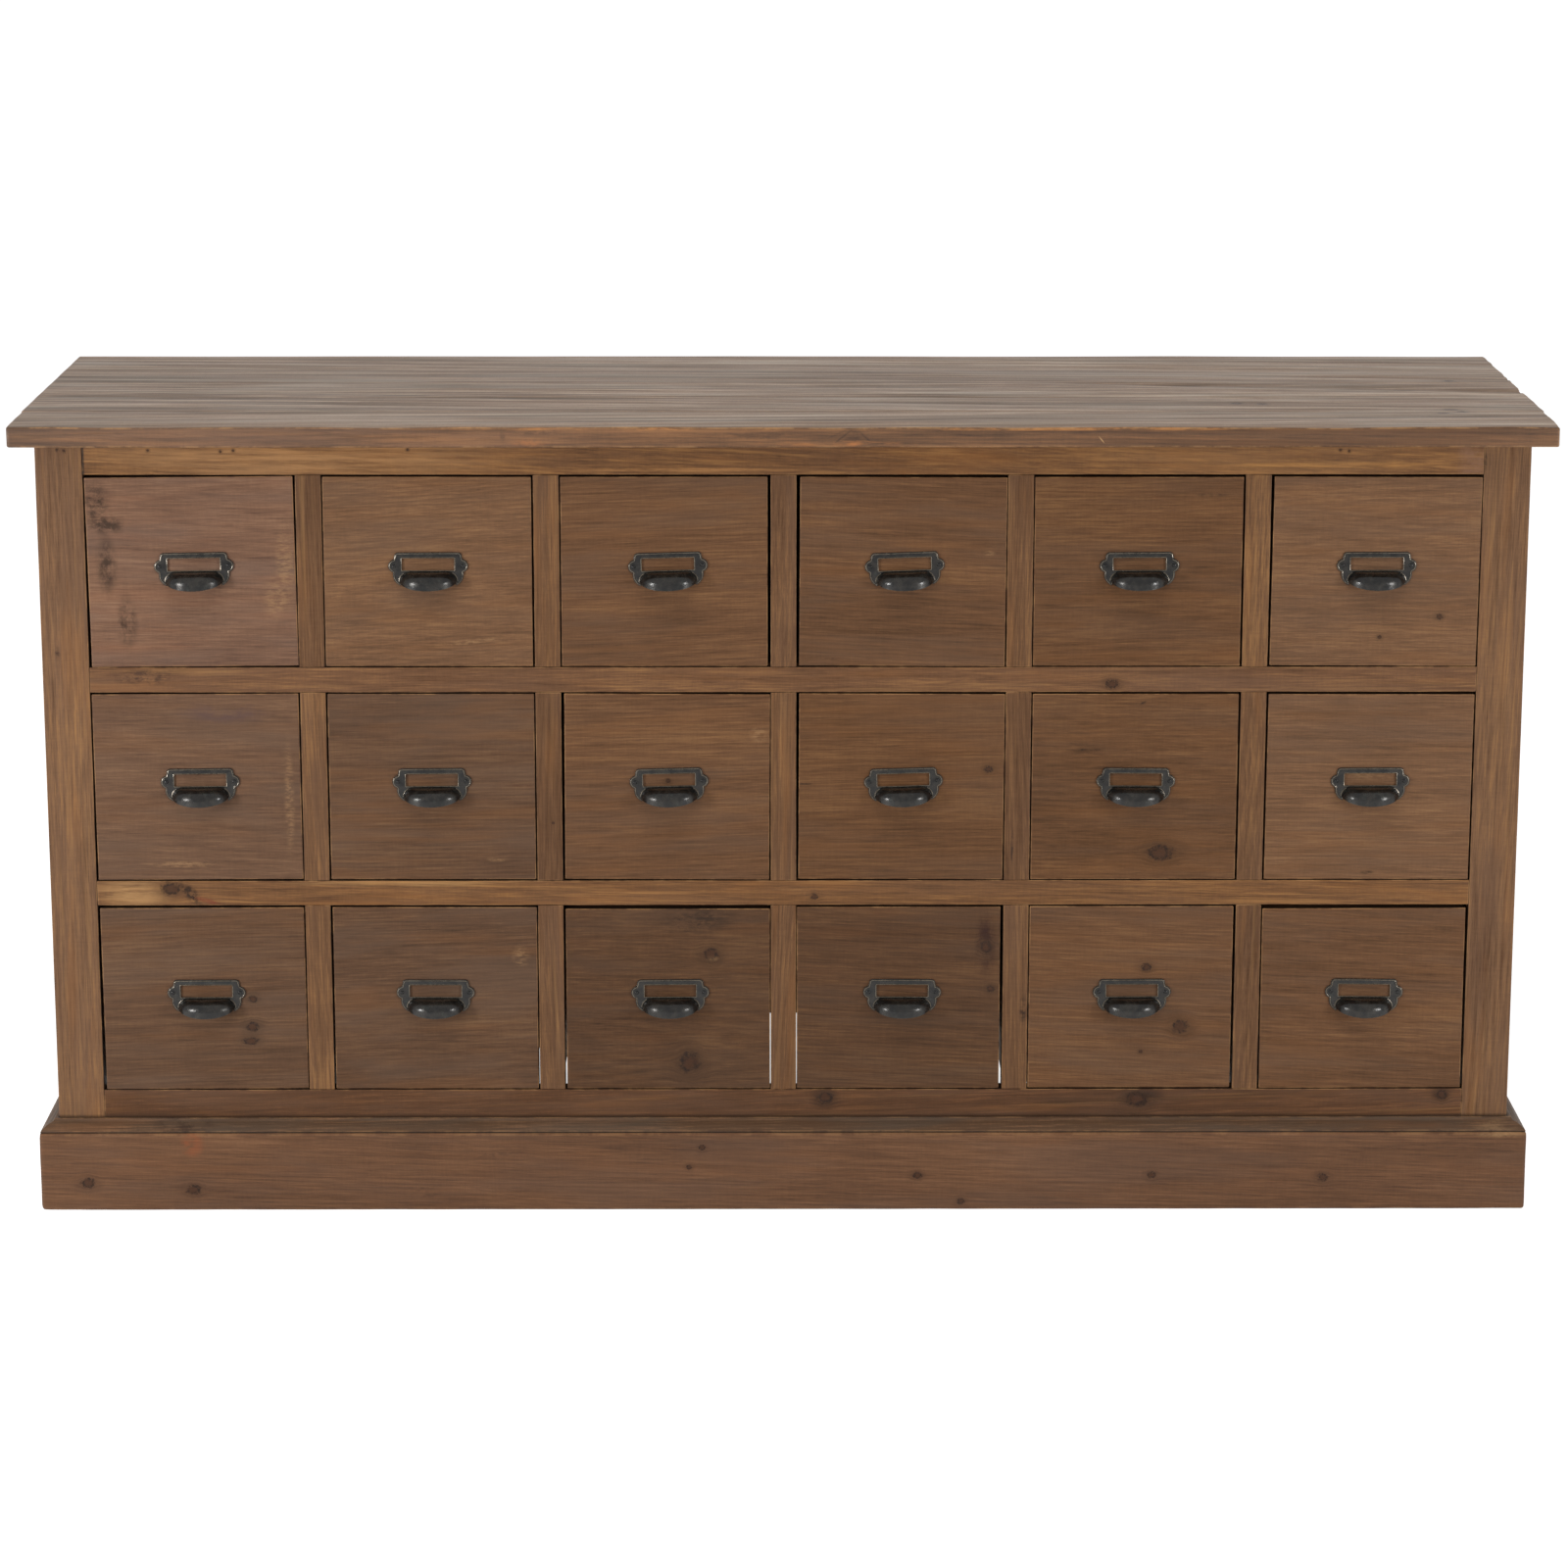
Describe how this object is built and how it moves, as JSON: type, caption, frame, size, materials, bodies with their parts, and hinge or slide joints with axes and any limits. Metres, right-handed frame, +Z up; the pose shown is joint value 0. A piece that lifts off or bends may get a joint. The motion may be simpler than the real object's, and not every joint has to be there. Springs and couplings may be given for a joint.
{
  "type": "apothecary chest",
  "caption": "Floor-standing apothecary chest in reclaimed wood, with rows of square drawers that slide out by label-holder cup pulls.",
  "frame": {"origin": "on the floor, under the middle of the top", "axes": "+X to the viewer's right along the length, +Y from the drawer fronts to the back, +Z up"},
  "size_m": [1.6, 0.5, 0.85],
  "materials": {
    "top_wood": "weathered grey-brown oil stain",
    "frame_wood": "brown stain, worn at the edges",
    "front_wood": "brown stain, worn at the edges",
    "inner_wood": "bare softwood",
    "dark_iron": "blackened, edges rubbed bright",
    "fastener_steel": "plain steel"
  },
  "bodies": {
    "carcass": {"back_nails": "fastener_steel", "back_panel": "inner_wood", "dividers": "inner_wood", "drawer_runners": "inner_wood", "drawer_stops": "inner_wood", "glue_blocks": "inner_wood", "moulding_front": "frame_wood", "moulding_left": "frame_wood", "moulding_right": "frame_wood", "muntins": "frame_wood", "plinth_front": "frame_wood", "plinth_left": "frame_wood", "plinth_right": "frame_wood", "rail_bottom": "frame_wood", "rail_mid_1": "frame_wood", "rail_mid_2": "frame_wood", "rail_top": "frame_wood", "rear_rails": "inner_wood", "side_left": "frame_wood", "side_right": "frame_wood", "stile_left": "frame_wood", "stile_right": "frame_wood", "top_boards": "top_wood", "top_screws": "fastener_steel"},
    "drawer_r1c1": {"drawer_r1c1": "front_wood", "pull_r1c1": "dark_iron"},
    "drawer_r1c2": {"drawer_r1c2": "front_wood", "pull_r1c2": "dark_iron"},
    "drawer_r1c3": {"drawer_r1c3": "front_wood", "pull_r1c3": "dark_iron"},
    "drawer_r1c4": {"drawer_r1c4": "front_wood", "pull_r1c4": "dark_iron"},
    "drawer_r1c5": {"drawer_r1c5": "front_wood", "pull_r1c5": "dark_iron"},
    "drawer_r1c6": {"drawer_r1c6": "front_wood", "pull_r1c6": "dark_iron"},
    "drawer_r2c1": {"drawer_r2c1": "front_wood", "pull_r2c1": "dark_iron"},
    "drawer_r2c2": {"drawer_r2c2": "front_wood", "pull_r2c2": "dark_iron"},
    "drawer_r2c3": {"drawer_r2c3": "front_wood", "pull_r2c3": "dark_iron"},
    "drawer_r2c4": {"drawer_r2c4": "front_wood", "pull_r2c4": "dark_iron"},
    "drawer_r2c5": {"drawer_r2c5": "front_wood", "pull_r2c5": "dark_iron"},
    "drawer_r2c6": {"drawer_r2c6": "front_wood", "pull_r2c6": "dark_iron"},
    "drawer_r3c1": {"drawer_r3c1": "front_wood", "pull_r3c1": "dark_iron"},
    "drawer_r3c2": {"drawer_r3c2": "front_wood", "pull_r3c2": "dark_iron"},
    "drawer_r3c3": {"drawer_r3c3": "front_wood", "pull_r3c3": "dark_iron"},
    "drawer_r3c4": {"drawer_r3c4": "front_wood", "pull_r3c4": "dark_iron"},
    "drawer_r3c5": {"drawer_r3c5": "front_wood", "pull_r3c5": "dark_iron"},
    "drawer_r3c6": {"drawer_r3c6": "front_wood", "pull_r3c6": "dark_iron"}
  },
  "joints": [
    {"name": "slide_r1c1", "type": "slide", "parent": "carcass", "child": "drawer_r1c1", "axis": [0, -1, 0], "range_m": [0, 0.33]},
    {"name": "slide_r1c2", "type": "slide", "parent": "carcass", "child": "drawer_r1c2", "axis": [0, -1, 0], "range_m": [0, 0.33]},
    {"name": "slide_r1c3", "type": "slide", "parent": "carcass", "child": "drawer_r1c3", "axis": [0, -1, 0], "range_m": [0, 0.33]},
    {"name": "slide_r1c4", "type": "slide", "parent": "carcass", "child": "drawer_r1c4", "axis": [0, -1, 0], "range_m": [0, 0.33]},
    {"name": "slide_r1c5", "type": "slide", "parent": "carcass", "child": "drawer_r1c5", "axis": [0, -1, 0], "range_m": [0, 0.33]},
    {"name": "slide_r1c6", "type": "slide", "parent": "carcass", "child": "drawer_r1c6", "axis": [0, -1, 0], "range_m": [0, 0.33]},
    {"name": "slide_r2c1", "type": "slide", "parent": "carcass", "child": "drawer_r2c1", "axis": [0, -1, 0], "range_m": [0, 0.33]},
    {"name": "slide_r2c2", "type": "slide", "parent": "carcass", "child": "drawer_r2c2", "axis": [0, -1, 0], "range_m": [0, 0.33]},
    {"name": "slide_r2c3", "type": "slide", "parent": "carcass", "child": "drawer_r2c3", "axis": [0, -1, 0], "range_m": [0, 0.33]},
    {"name": "slide_r2c4", "type": "slide", "parent": "carcass", "child": "drawer_r2c4", "axis": [0, -1, 0], "range_m": [0, 0.33]},
    {"name": "slide_r2c5", "type": "slide", "parent": "carcass", "child": "drawer_r2c5", "axis": [0, -1, 0], "range_m": [0, 0.33]},
    {"name": "slide_r2c6", "type": "slide", "parent": "carcass", "child": "drawer_r2c6", "axis": [0, -1, 0], "range_m": [0, 0.33]},
    {"name": "slide_r3c1", "type": "slide", "parent": "carcass", "child": "drawer_r3c1", "axis": [0, -1, 0], "range_m": [0, 0.33]},
    {"name": "slide_r3c2", "type": "slide", "parent": "carcass", "child": "drawer_r3c2", "axis": [0, -1, 0], "range_m": [0, 0.33]},
    {"name": "slide_r3c3", "type": "slide", "parent": "carcass", "child": "drawer_r3c3", "axis": [0, -1, 0], "range_m": [0, 0.33]},
    {"name": "slide_r3c4", "type": "slide", "parent": "carcass", "child": "drawer_r3c4", "axis": [0, -1, 0], "range_m": [0, 0.33]},
    {"name": "slide_r3c5", "type": "slide", "parent": "carcass", "child": "drawer_r3c5", "axis": [0, -1, 0], "range_m": [0, 0.33]},
    {"name": "slide_r3c6", "type": "slide", "parent": "carcass", "child": "drawer_r3c6", "axis": [0, -1, 0], "range_m": [0, 0.33]}
  ]
}
